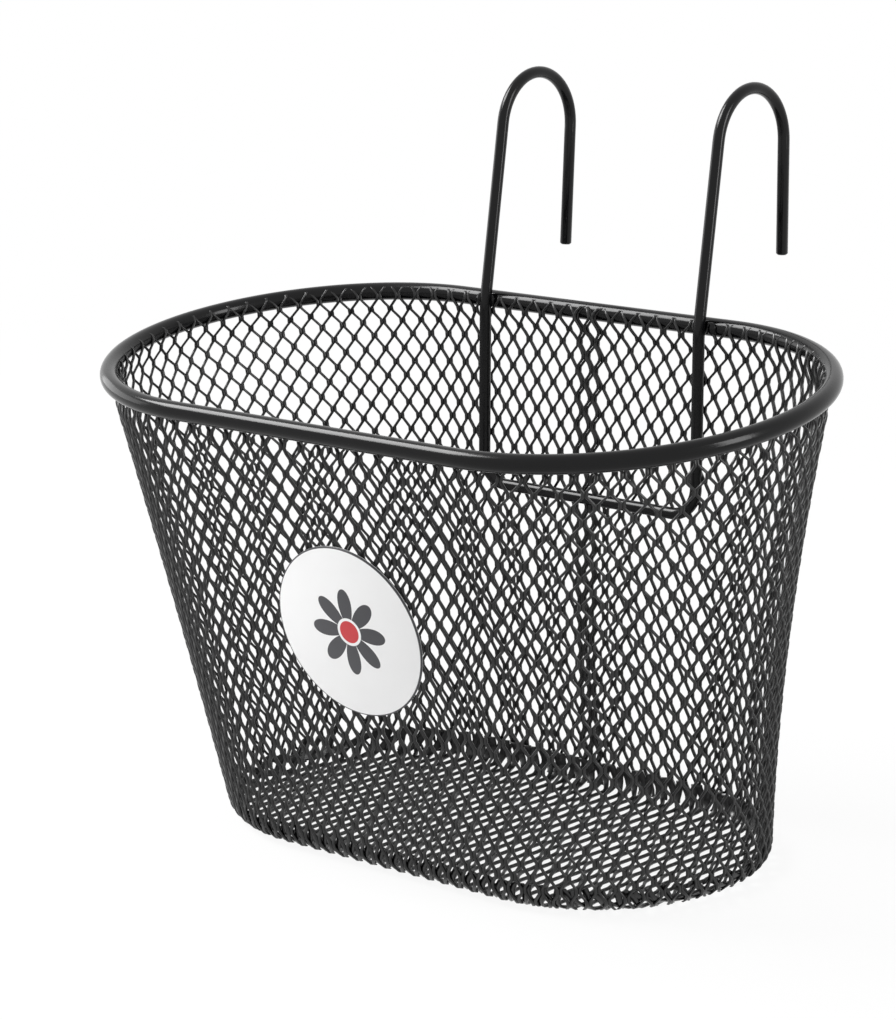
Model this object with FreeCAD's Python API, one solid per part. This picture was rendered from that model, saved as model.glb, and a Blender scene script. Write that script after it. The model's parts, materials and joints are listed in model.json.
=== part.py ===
"""Handlebar basket: an oval, tapered basket of expanded steel mesh on a double wire hook.

Frame: millimetres, +Z up, +X to the right along the basket's long axis, front at -Y. The origin
is on the underside of the floor, below the middle of the rim.

Pieces: a rim hoop, a mesh wall whose upper edge sits in a groove under the rim, a mesh floor pan
with an upturned edge inside the wall, one wire bent into two hooks, its weld beads, and a round
badge. The diamonds of the mesh are larger than the real sheet's, and the round bars have flat
sides, so that the whole part stays light.
"""
import FreeCAD, Part
import math
import os

V = FreeCAD.Vector

# ---- driving dimensions ------------------------------------------------------------------
LENGTH = 250.0          # rim, outside, left to right
DEPTH = 142.4           # rim, outside, front to back, in the rim's own plane
RIM_BAR = 5.8           # thickness of the rim hoop
RIM_HEIGHT = 150.9      # rim centreline above the floor's underside, at the rim's middle
RIM_TILT = 5.6          # degrees: the rim stands higher at the back
GROOVE_WIDTH = 2.0      # groove under the rim that the wall's upper edge sits in
GROOVE_DEPTH = 1.4

FLOOR_HALF_LENGTH = 94.5    # middle of the wall sheet at floor level
FLOOR_HALF_DEPTH = 52.5
FLOOR_SHIFT = 12.4      # floor's middle, towards the back from the rim's middle
BACK_DRAW = 4.4         # how far the back wall is drawn in at half height

SHEET = 1.0             # thickness of the mesh sheet
WALL_EDGE = 3.0         # height of the wall's cut lower edge
WALL_COLUMNS = 24       # diamonds round the wall
WALL_HALF_ROWS = 10     # staggered rows of diamonds up the wall
WALL_STRAND = 3.0       # width of a strand of the wall's mesh
PANEL_LINES = (-4, 4, 7, 9, 12, 15, 17, 20, 28, 31, 33, 36, 39, 41, 44)     # half columns where
# the wall's panels meet, and those of the floor pan's edge

FLANGE = 9.0            # height of the floor pan's upturned edge
PAN_RADIUS = 6.0        # bend between floor and upturned edge
BEND_STEPS = 2          # flat steps that make up the bend
FLOOR_PITCH_X = 23.0    # floor diamonds, along X
FLOOR_PITCH_Y = 18.0    # and along Y
FLOOR_COLUMNS = 5       # diamonds each way from the origin, along X
FLOOR_ROWS = 9          # and half rows each way along Y
FLOOR_STRAND = 3.0

RIM_SIDES = 12          # sides of the rim's section
WIRE_SIDES = 8          # sides of the wire's section
WIRE = 3.8              # hook wire
HOOK_X = 1.6            # middle of the two hooks, to the right of the rim's middle
HOOK_SPACING = 85.0     # between the two hooks, centre to centre
LEG_DROP = 59.5         # crosspiece below the rim, along Z
CORNER_RADIUS = 9.0     # wire's bend between leg and crosspiece
NECK_RADIUS = 40.0      # wire's slight bend at the rim
LEG_LEAN = 11.0         # degrees that a leg leans back above the rim
TIP_LEAN_LEFT = 5.2     # degrees that each tip leans in towards its leg
TIP_LEAN_RIGHT = 1.7
HOOK_TOP = 228.7        # wire's centreline at the top of its arch
ARCH_RADIUS = 17.8      # wire's centreline in the arch
TIP_END_LEFT = 170.0    # height of each tip's cut end
TIP_END_RIGHT = 174.0

BADGE_DIAMETER = 55.0
BADGE_THICKNESS = 0.9
BADGE_X = 3.6
BADGE_Z = 82.7

BEAD_LENGTH = 4.2       # weld beads between the legs and the rim, along Z
BEAD_WIDTH = 3.4        # along X, from the wire's side
BEAD_OUT = 1.2          # how far a bead stands out from the rim, beside the wire
BEAD_SUNK = 1.0         # how far a bead reaches in behind the rim's and the wire's surface

# ---- sizes worked out from them -----------------------------------------------------------
RIM_RADIUS = RIM_BAR / 2
RIM_HALF_LENGTH = LENGTH / 2 - RIM_RADIUS
RIM_HALF_DEPTH = DEPTH / 2 - RIM_RADIUS
TILT = math.radians(RIM_TILT)
RIM_BACK_Y = RIM_HALF_DEPTH * math.cos(TILT)
RIM_BACK_Z = RIM_HEIGHT + RIM_HALF_DEPTH * math.sin(TILT)
SEAT = RIM_RADIUS - GROOVE_DEPTH        # wall's upper edge below the rim's centreline
WALL_TOP = RIM_HEIGHT - SEAT / math.cos(TILT)
WIRE_RADIUS = WIRE / 2


def lerp(low, high, share):
    """Value a share of the way from low to high."""
    return low + (high - low) * share


class Section:
    """Stadium outline of the wall sheet at one height: straight sides and half-round ends."""

    def __init__(self, share, grow=0.0, tilt=None):
        """share runs from 0 at the floor to 1 at the rim; grow offsets the outline outwards."""
        draw = BACK_DRAW / 2 * 4 * share * (1 - share)
        self.radius = lerp(FLOOR_HALF_DEPTH, RIM_HALF_DEPTH, share) - draw + grow
        self.straight = lerp(FLOOR_HALF_LENGTH, RIM_HALF_LENGTH, share) + grow - self.radius
        self.middle_y = lerp(FLOOR_SHIFT, 0.0, share) - draw
        self.height = lerp(0.0, WALL_TOP, share)
        self.tilt = lerp(0.0, TILT, share) if tilt is None else tilt
        self.perimeter = 4 * self.straight + 2 * math.pi * self.radius

    def place(self, x, y):
        """Point of the section's own plane, in the part's frame."""
        return V(x, self.middle_y + y * math.cos(self.tilt), self.height + y * math.sin(self.tilt))

    def wire(self):
        """Closed outline in flat steps, with a corner for every half column of the wall."""
        corners = [self.point(turn / 2 / WALL_COLUMNS) for turn in range(2 * WALL_COLUMNS)]
        return Part.makePolygon(corners + corners[:1])

    def point(self, turn):
        """Point at a share of the way round, from the middle of the back towards +X."""
        half = self.perimeter / 2
        laps, along = divmod(turn * self.perimeter, half)
        s, r = self.straight, self.radius
        angle = min(max((along - s) / r, 0.0), math.pi)
        x = min(along, s) - max(along - s - math.pi * r, 0.0) + r * math.sin(angle)
        y = r * math.cos(angle)
        side = -1 if laps % 2 else 1
        return self.place(side * x, side * y)


def wall_faces(turn, share):
    """Points on the outer and the inner face of the wall sheet."""
    step = 0.002
    middle = Section(share).point(turn)
    across = Section(share).point(turn + step) - Section(share).point(turn - step)
    rise = Section(share + step).point(turn) - Section(share - step).point(turn)
    outward = rise.cross(across).normalize() * (SHEET / 2)
    return middle + outward, middle - outward


def diamond_opening(width, height, strand):
    """Width and height of the hole left in a diamond of the lattice by strands of one width."""
    slant = math.hypot(width, height)
    return width - strand * slant / height, height - strand * slant / width


class WallPanel:
    """Part of the mesh wall, between two upright lines, as a closed skin of flat faces.

    Places on the sheet are given as (u, v): u counts half columns round the wall and v half rows
    up it. A diamond is open round every (u, v) whose sum is even, and strands meet at the others.
    """

    def __init__(self, first, last):
        """first and last are the half columns where the panel starts and ends."""
        low, high = WALL_EDGE / WALL_TOP, 1.0
        pitch = Section(0.5).perimeter / WALL_COLUMNS
        row = 2 * (high - low) * WALL_TOP / WALL_HALF_ROWS
        opening = diamond_opening(pitch, row, WALL_STRAND)
        self.a, self.b = opening[0] / pitch, opening[1] / row
        self.low, self.high = low, high
        self.points, self.known, self.triangles = [], {}, []
        for u in range(first, last):
            for v in range(WALL_HALF_ROWS + 1):
                self.half_column(u, v)
        for v in range(WALL_HALF_ROWS + 1):
            if (first + v) % 2:
                self.cut(*self.node_line(first, v))
            if (last + v) % 2:
                self.cut(*reversed(self.node_line(last, v)))

    def corner(self, place, face):
        """Number of the corner at a place on the outer (0) or inner (1) face."""
        key = (round(place[0], 6), round(place[1], 6), face)
        if key not in self.known:
            share = lerp(self.low, self.high, place[1] / WALL_HALF_ROWS)
            self.known[key] = len(self.points)
            self.points.append(wall_faces(place[0] / 2 / WALL_COLUMNS % 1.0, share)[face])
        return self.known[key]

    def fan(self, corners):
        """Flat face, as a fan of triangles."""
        for second, third in zip(corners[1:], corners[2:]):
            self.triangles.append((corners[0], second, third))

    def metal(self, *places):
        """Metal between these places, on both faces of the sheet."""
        self.fan([self.corner(place, 0) for place in places])
        self.fan([self.corner(place, 1) for place in reversed(places)])

    def cut(self, start, end):
        """Cut edge across the sheet's thickness."""
        self.fan([self.corner(start, 0), self.corner(start, 1),
                  self.corner(end, 1), self.corner(end, 0)])

    def node_line(self, u, v):
        """Lower and upper end of the metal on the upright line through a node."""
        return (u, max(v - 1 + self.b, 0)), (u, min(v + 1 - self.b, WALL_HALF_ROWS))

    def half_column(self, u, v):
        """Faces of half row v between the upright lines u and u + 1."""
        a, b = self.a, self.b
        bottom, top = v == 0, v == WALL_HALF_ROWS
        hole_first = (u + v) % 2 == 0
        hole = u if hole_first else u + 1
        node = u + 1 if hole_first else u
        side = (hole + a, v) if hole_first else (hole - a, v)
        under, over = self.node_line(node, v)
        edges = []
        if not top:
            edges.append(((hole, v + b), side))
        if not bottom:
            edges.append((side, (hole, v - b)))
        faces = [(side, under, over)]
        if bottom or top:
            edges.append((side, under) if bottom else (over, side))
        if not top:
            faces.append((side, over, (node - side[0] + hole, v + 1), (hole, v + b)))
        for start, end in edges:
            self.cut(*((start, end) if hole_first else (end, start)))
        for places in faces:
            self.metal(*(places if hole_first else reversed(places)))

    def solid(self):
        """The panel as a solid."""
        shell = Part.Shape()
        shell.makeShapeFromMesh((self.points, self.triangles), 1e-4)
        return Part.makeSolid(shell).removeSplitter()


def make_wall():
    """The wall: a ring of expanded mesh, in panels that meet edge to edge."""
    ends = zip(PANEL_LINES, PANEL_LINES[1:])
    return Part.makeCompound([WallPanel(first, last).solid() for first, last in ends])


def ring_stack(levels):
    """Solid through outlines at several heights; levels holds (height, offset of the outline)."""
    wires = []
    for height, grow in levels:
        wires.append(Section(height / WALL_TOP, grow, 0.0).wire())
    return Part.makeLoft(wires, True, True)


def pan_levels(gap, thickness):
    """Levels of the floor pan's outside (thickness 0) or of its hollow (the sheet's thickness)."""
    bend = PAN_RADIUS - thickness
    levels = []
    for step in range(BEND_STEPS + 1):
        angle = math.pi / 2 * step / BEND_STEPS
        height = PAN_RADIUS - bend * math.cos(angle)
        levels.append((height, -gap - thickness - bend * (1 - math.sin(angle))))
    return levels + [(FLANGE, -gap - thickness)]


def prism(corners, height):
    """Upright prism over an outline in the plane Z = 0."""
    return Part.Face(Part.makePolygon(corners + corners[:1])).extrude(V(0, 0, height))


def edge_prisms():
    """Upright prisms that part the pan's edge along the same lines as the wall."""
    base = Section(0.0)
    outlines = []
    for lines in zip(PANEL_LINES, PANEL_LINES[1:]):
        places = [base.point(line / 2 / WALL_COLUMNS % 1.0) for line in lines]
        inner = [V(math.copysign(base.straight, place.x), base.middle_y) for place in places]
        outer = [start + (place - start) * 3 for start, place in zip(inner, places)]
        ring = inner if inner[0] != inner[1] else inner[:1]
        outlines.append(ring + outer[::-1])
    return [prism(outline, RIM_HEIGHT) for outline in outlines]


def make_floor():
    """Floor pan: a flat plate of mesh, and a rounded edge turned up inside the wall."""
    gap = SHEET / 2
    base = Section(0.0, -gap - PAN_RADIUS)
    plate = Part.Face(base.wire()).extrude(V(0, 0, SHEET))
    edge = ring_stack(pan_levels(gap, 0.0)).cut([ring_stack(pan_levels(gap, SHEET)), plate])
    panels = []
    for wedge in edge_prisms():
        panels += edge.common(wedge).Solids
    width, height = diamond_opening(FLOOR_PITCH_X, FLOOR_PITCH_Y, FLOOR_STRAND)
    holes = []
    for column in range(-FLOOR_COLUMNS, FLOOR_COLUMNS + 1):
        for row in range(-FLOOR_ROWS, FLOOR_ROWS + 1):
            x = (column + 0.5 * ((row + 1) % 2)) * FLOOR_PITCH_X
            y = row * FLOOR_PITCH_Y / 2
            past_straight = max(abs(x) - base.straight, 0.0)
            if math.hypot(past_straight, y - base.middle_y) < base.radius - FLOOR_STRAND * 1.5:
                holes.append(prism([V(x + width / 2, y), V(x, y + height / 2),
                                    V(x - width / 2, y), V(x, y - height / 2)], SHEET))
    inner = Part.Face(Section(0.0, -gap - PAN_RADIUS - FLOOR_STRAND / 2).wire())
    mesh = Part.makeCompound(holes).common(inner.extrude(V(0, 0, SHEET)))
    return Part.makeCompound([plate.cut(mesh)] + panels)


def bar_section(sides, thickness, centre, along, flat_side):
    """Face of a many-sided bar: thickness is across its flats, and one flat faces flat_side."""
    along = V(along).normalize()
    first = V(flat_side).normalize()
    second = along.cross(first)
    reach = thickness / 2 / math.cos(math.pi / sides)
    ring = []
    for side in range(sides):
        angle = 2 * math.pi * (side + 0.5) / sides
        ring.append(centre + first * (reach * math.cos(angle)) + second * (reach * math.sin(angle)))
    return Part.Face(Part.makePolygon(ring + ring[:1]))


def hoop(section):
    """Solid of a section carried along the rim's stadium, before the rim is tilted and raised."""
    straight = RIM_HALF_LENGTH - RIM_HALF_DEPTH
    end = section.revolve(V(straight, 0, 0), V(0, 0, 1), -180)
    half = end.fuse(section.extrude(V(-2 * straight, 0, 0)))
    other = half.copy()
    other.rotate(V(0, 0, 0), V(0, 0, 1), 180)
    return half.fuse(other).removeSplitter()


def on_rim(shape):
    """The shape, moved from the rim's own plane to its place."""
    shape.rotate(V(0, 0, 0), V(1, 0, 0), RIM_TILT)
    shape.translate(V(0, 0, RIM_HEIGHT))
    return shape


def make_rim():
    """Rim hoop, with a groove along its underside for the wall's upper edge."""
    straight = RIM_HALF_LENGTH - RIM_HALF_DEPTH
    centre = V(straight, RIM_HALF_DEPTH, 0)
    bar = bar_section(RIM_SIDES, RIM_BAR, centre, V(1, 0, 0), V(0, 0, 1))
    half = GROOVE_WIDTH / 2
    ring = [centre + V(0, -half, -SEAT), centre + V(0, half, -SEAT),
            centre + V(0, half, -RIM_BAR), centre + V(0, -half, -RIM_BAR)]
    groove = Part.Face(Part.makePolygon(ring + ring[:1]))
    return on_rim(hoop(bar.cut(groove).Faces[0]))


class Wire:
    """Wire bent along a path: straight runs and bends, each carried on from the last."""

    def __init__(self, start, along, flat_side):
        self.at, self.along = V(start), V(along).normalize()
        self.section = bar_section(WIRE_SIDES, WIRE, self.at, self.along, flat_side)
        self.solids = []

    def run(self, length):
        """Straight run."""
        step = self.along * length
        self.solids.append(self.section.extrude(step))
        self.section.translate(step)
        self.at = self.at + step

    def bend(self, radius, axis, degrees):
        """Bend about an axis square to the wire; the wire turns by the right-hand rule."""
        centre = self.at + V(axis).cross(self.along).normalize() * radius
        self.solids.append(self.section.revolve(centre, V(axis), degrees))
        turn = FreeCAD.Rotation(V(axis), degrees)
        self.section.rotate(centre, V(axis), degrees)
        self.at = centre + turn.multVec(self.at - centre)
        self.along = turn.multVec(self.along)


def make_hook():
    """The hook wire, bent from the middle of the crosspiece outwards to each tip."""
    cross_z = RIM_BACK_Z - LEG_DROP
    cross_y = Section(cross_z / WALL_TOP).point(0.0).y - SHEET / 2 - WIRE_RADIUS
    rim_y = RIM_BACK_Y - RIM_RADIUS - WIRE_RADIUS
    low_lean = math.degrees(math.atan2(rim_y - cross_y, LEG_DROP))
    leg = V(0, rim_y - cross_y, LEG_DROP)
    neck = math.radians(LEG_LEAN - low_lean) / 2
    neck_back = NECK_RADIUS * math.tan(neck)
    solids = []
    for side, tip_lean, tip_end in ((-1, TIP_LEAN_LEFT, TIP_END_LEFT),
                                    (1, TIP_LEAN_RIGHT, TIP_END_RIGHT)):
        wire = Wire(V(HOOK_X, cross_y, cross_z), V(side, 0, 0), leg)
        wire.run(HOOK_SPACING / 2 - CORNER_RADIUS)
        wire.bend(CORNER_RADIUS, V(side, 0, 0).cross(leg), 90)
        wire.run(leg.Length - CORNER_RADIUS - neck_back)
        wire.bend(NECK_RADIUS, V(-1, 0, 0), LEG_LEAN - low_lean)
        lean = math.radians(LEG_LEAN)
        arch_start = HOOK_TOP - ARCH_RADIUS * (1 - math.sin(lean))
        wire.run((arch_start - wire.at.z) / math.cos(lean))
        wire.bend(ARCH_RADIUS, V(-1, 0, 0), 180 - LEG_LEAN + tip_lean)
        wire.run((wire.at.z - tip_end) / math.cos(math.radians(tip_lean)))
        solids += wire.solids
    return solids[0].multiFuse(solids[1:]).removeSplitter()


def make_welds(rim, hook):
    """Weld beads on both sides of each leg, in the corner between the leg and the rim."""
    beads = []
    inside = RIM_BACK_Y - RIM_RADIUS
    for leg_x in (HOOK_X - HOOK_SPACING / 2, HOOK_X + HOOK_SPACING / 2):
        for side in (-1, 1):
            near = leg_x + side * (WIRE_RADIUS - BEAD_SUNK)
            far = leg_x + side * (WIRE_RADIUS + BEAD_WIDTH)
            ring = [V(near, inside - BEAD_OUT, 0), V(far, inside - BEAD_OUT / 4, 0),
                    V(far, inside + BEAD_SUNK, 0), V(near, inside + BEAD_SUNK, 0)]
            bead = Part.Face(Part.makePolygon(ring + ring[:1])).extrude(V(0, 0, BEAD_LENGTH))
            bead.translate(V(0, 0, RIM_BACK_Z - BEAD_LENGTH / 2))
            beads += bead.cut([rim, hook]).Solids
    return Part.makeCompound(beads)


def make_badge():
    """Round badge, lying flat on the outside of the front wall."""
    low, high = Section(0.0, SHEET / 2), Section(1.0, SHEET / 2)
    foot, head = low.place(0, -low.radius), high.place(0, -high.radius)
    up = (head - foot).normalize()
    outward = up.cross(V(1, 0, 0))
    centre = foot + up * ((BADGE_Z - foot.z) / up.z) + V(BADGE_X, 0, 0)
    return Part.makeCylinder(BADGE_DIAMETER / 2, BADGE_THICKNESS, centre, outward)


def main():
    """Build every piece and write one STEP file for each."""
    os.makedirs("parts", exist_ok=True)
    rim = make_rim()
    hook = make_hook()
    pieces = {
        "rim_hoop": rim,
        "wall_mesh": make_wall(),
        "floor_mesh": make_floor(),
        "hook_wire": hook,
        "hook_welds": make_welds(rim, hook),
        "badge": make_badge(),
    }
    for name, shape in pieces.items():
        shape.exportStep(os.path.join("parts", name + ".step"))
        box = shape.BoundBox
        print(f"{name}: {len(shape.Solids)} solid(s), valid {shape.isValid()},"
              f" volume {shape.Volume:.0f},"
              f" X {box.XMin:.1f}..{box.XMax:.1f} Y {box.YMin:.1f}..{box.YMax:.1f}"
              f" Z {box.ZMin:.1f}..{box.ZMax:.1f}")


main()
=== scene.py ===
"""Dresses the handlebar basket: coated expanded-metal mesh, rim, hooks, weld beads and badge.

Every length is in metres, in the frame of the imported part: +X to the right along the basket's
long side, -Y to the front with the badge, +Y to the back with the hooks, and +Z up from the
floor's underside.
"""
import json
import logging
import math
from collections.abc import Sequence
from dataclasses import dataclass, field, replace
from enum import Enum
from typing import Union

import bmesh
import bpy
from mathutils import Matrix, Quaternion, Vector

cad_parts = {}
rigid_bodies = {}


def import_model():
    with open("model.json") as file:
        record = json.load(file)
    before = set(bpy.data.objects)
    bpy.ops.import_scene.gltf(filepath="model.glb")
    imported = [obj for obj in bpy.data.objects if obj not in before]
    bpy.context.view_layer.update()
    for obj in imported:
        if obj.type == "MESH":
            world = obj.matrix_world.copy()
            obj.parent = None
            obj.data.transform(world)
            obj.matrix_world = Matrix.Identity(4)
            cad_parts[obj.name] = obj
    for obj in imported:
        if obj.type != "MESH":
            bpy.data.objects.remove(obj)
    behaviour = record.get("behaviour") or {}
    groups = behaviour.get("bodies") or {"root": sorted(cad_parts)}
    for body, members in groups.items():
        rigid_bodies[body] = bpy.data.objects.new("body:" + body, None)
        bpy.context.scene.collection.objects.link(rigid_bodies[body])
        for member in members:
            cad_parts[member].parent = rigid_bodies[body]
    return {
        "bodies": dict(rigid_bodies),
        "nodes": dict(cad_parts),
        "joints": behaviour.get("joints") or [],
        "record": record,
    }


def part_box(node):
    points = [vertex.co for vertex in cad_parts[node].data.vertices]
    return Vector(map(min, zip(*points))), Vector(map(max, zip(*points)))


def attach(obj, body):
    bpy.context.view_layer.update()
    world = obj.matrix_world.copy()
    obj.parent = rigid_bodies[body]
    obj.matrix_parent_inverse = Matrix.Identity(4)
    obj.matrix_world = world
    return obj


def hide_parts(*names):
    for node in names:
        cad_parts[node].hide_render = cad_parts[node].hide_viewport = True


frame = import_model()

LOG = logging.getLogger("basket")
MM = 0.001
SAME_CORNER = 0.004 * MM    # corners closer than this become one
NUDGE = 1e-4                # keeps rounding from putting a joint into the row before
TINY = 1e-12                # keeps a quotient away from zero


# ---- node trees ------------------------------------------------------------------------------
class Field:
    """A value inside a node tree, written with the ordinary signs of arithmetic."""

    def __init__(self, nodes: "Nodes", socket: bpy.types.NodeSocket) -> None:
        """Args: nodes: the tree that the value is in. socket: the output that gives the value."""
        self.nodes = nodes
        self.socket = socket

    def math(self, operation: str, *others: "Number") -> "Field":
        """Args: operation: a Math node's operation. others: its further inputs.

        Returns: the result.
        """
        node = self.nodes.add("ShaderNodeMath", {"operation": operation}, self, *others)
        return Field(self.nodes, node.outputs[0])

    def __add__(self, other: "Number") -> "Field":
        """The sum."""
        return self.math("ADD", other)

    def __sub__(self, other: "Number") -> "Field":
        """The difference."""
        return self.math("SUBTRACT", other)

    def __mul__(self, other: "Number") -> "Field":
        """The product."""
        return self.math("MULTIPLY", other)

    def __truediv__(self, other: "Number") -> "Field":
        """The quotient."""
        return self.math("DIVIDE", other)

    def clamp(self, low: "Number", high: "Number") -> "Field":
        """The value, held between two others."""
        return self.math("MAXIMUM", low).math("MINIMUM", high)

    def lerp(self, low: "Number", high: "Number") -> "Field":
        """The value that lies this share of the way from low to high."""
        return self.nodes.number(high) * self + self.nodes.number(low) * (self * -1.0 + 1.0)


Number = Union[Field, float]
Input = Union[Field, bpy.types.NodeSocket, float, int, bool, str, tuple, bpy.types.ID]


class Nodes:
    """A node tree that is being built."""

    def __init__(self, tree: bpy.types.NodeTree) -> None:
        """Args: tree: the tree, which is emptied first."""
        self.tree = tree
        self.tree.nodes.clear()

    def add(self, kind: str, settings: dict[str, object] | None = None, *ordered: Input,
            named: dict[str, Input] | None = None) -> bpy.types.Node:
        """Adds one node with its settings and links.

        Args:
            kind: the node's type.
            settings: attributes of the node.
            ordered: its inputs in order, each a value or the output that feeds it.
            named: more inputs, by name.

        Returns: the node.
        """
        node = self.tree.nodes.new(kind)
        for name, value in (settings or {}).items():
            setattr(node, name, value)
        pairs = list(zip([s for s in node.inputs if s.enabled], ordered))
        for name, value in (named or {}).items():
            pairs.append((next(s for s in node.inputs if s.name == name and s.enabled), value))
        for socket, value in pairs:
            if isinstance(value, Field):
                value = value.socket
            if isinstance(value, bpy.types.NodeSocket):
                self.tree.links.new(value, socket)
            else:
                socket.default_value = value
        return node

    def field(self, kind: str, settings: dict[str, object] | None = None, *ordered: Input,
              named: dict[str, Input] | None = None, output: str | int = 0) -> Field:
        """The output of a new node, as a value for arithmetic; takes what add takes."""
        return Field(self, self.add(kind, settings, *ordered, named=named).outputs[output])

    def number(self, value: Number) -> Field:
        """A constant or a value, as a value for arithmetic."""
        if isinstance(value, Field):
            return value
        return self.field("ShaderNodeMath", {"operation": "ADD"}, float(value), 0.0)


class Modelled:
    """Geometry Nodes tree with named size inputs, run once and kept as a plain mesh."""

    def __init__(self, name: str) -> None:
        """Args: name: the tree's name."""
        self.tree = bpy.data.node_groups.new(name, "GeometryNodeTree")
        self.nodes = Nodes(self.tree)
        self.tree.interface.new_socket("Geometry", in_out="OUTPUT",
                                       socket_type="NodeSocketGeometry")
        self.sizes: dict[str, bpy.types.NodeTreeInterfaceSocket] = {}

    def size(self, name: str, value: float) -> Field:
        """Adds a size input.

        Args:
            name: the input's name.
            value: its default.

        Returns: the input, as a value for arithmetic.
        """
        socket = self.tree.interface.new_socket(name, in_out="INPUT", socket_type="NodeSocketFloat")
        socket.default_value = value
        self.sizes[name] = socket
        return self.nodes.field("NodeGroupInput", output=name)

    def finish(self, geometry: bpy.types.NodeSocket, material: bpy.types.Material) -> None:
        """Ends the tree in Realize Instances and Set Material.

        Args:
            geometry: what the tree has made.
            material: its finish.
        """
        real = self.nodes.add("GeometryNodeRealizeInstances", None, geometry)
        coated = self.nodes.add("GeometryNodeSetMaterial", None, real.outputs[0],
                                named={"Material": material})
        self.nodes.add("NodeGroupOutput", None, coated.outputs[0])

    def run(self, name: str, sizes: dict[str, float]) -> bpy.types.Object:
        """Runs the tree and keeps its result.

        Args:
            name: the new object's name.
            sizes: values for the tree's inputs.

        Returns: an object with a plain mesh and no modifier.
        """
        start = bpy.data.meshes.new(name)
        piece = bpy.data.objects.new(name, start)
        bpy.context.scene.collection.objects.link(piece)
        modifier = piece.modifiers.new("shape", "NODES")
        modifier.node_group = self.tree
        for size, value in sizes.items():
            modifier[self.sizes[size].identifier] = float(value)
        evaluated = piece.evaluated_get(bpy.context.evaluated_depsgraph_get())
        mesh = bpy.data.meshes.new_from_object(evaluated)
        piece.modifiers.remove(modifier)
        piece.data = mesh
        bpy.data.meshes.remove(start)
        mesh.name = name
        return piece


# ---- finishes --------------------------------------------------------------------------------
def linear(hex_colour: str) -> tuple[float, float, float, float]:
    """Args: hex_colour: an sRGB colour such as "1a1a1c". Returns: the linear colour."""
    parts = [int(hex_colour[i:i + 2], 16) / 255 for i in (0, 2, 4)]
    return (*[p / 12.92 if p <= 0.04045 else ((p + 0.055) / 1.055) ** 2.4 for p in parts], 1.0)


class Slot(Enum):
    """The record's material slots."""

    BLACK = "black_coat"
    WHITE = "badge_white"


@dataclass(frozen=True)
class PowderCoat:
    """Gloss polyester powder coat, baked on steel: deep black with a fine orange peel."""

    name: str
    roughness: float
    ior: float                      # of the resin: sets how bright the gloss is, seen face on
    colour: str = "0a0a0b"
    peel: float = 1.1 * MM          # width of a ripple in the baked coat
    peel_depth: float = 0.012 * MM
    patch: float = 14.0 * MM        # width of a patch that is a little duller or glossier
    patch_share: float = 0.10       # how far the roughness varies from patch to patch

    def make(self) -> bpy.types.Material:
        """Returns: the material."""
        material = bpy.data.materials.new(self.name)
        material.use_nodes = True
        nodes = Nodes(material.node_tree)
        place = nodes.field("ShaderNodeTexCoord", output="Object")
        ripple = nodes.field("ShaderNodeTexNoise", None, named={
            "Vector": place, "Scale": 1 / self.peel, "Detail": 2.0, "Roughness": 0.4})
        cloud = nodes.field("ShaderNodeTexNoise", None, named={
            "Vector": place, "Scale": 1 / self.patch, "Detail": 2.0})
        rough = (cloud - 0.5) * self.patch_share + self.roughness
        bump = nodes.add("ShaderNodeBump", None, named={
            "Height": ripple, "Strength": 1.0, "Distance": self.peel_depth})
        shader = nodes.add("ShaderNodeBsdfPrincipled", None, named={
            "Base Color": linear(self.colour), "Roughness": rough, "IOR": self.ior,
            "Normal": bump.outputs[0]})
        nodes.add("ShaderNodeOutputMaterial", None, shader.outputs[0])
        return material


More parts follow.
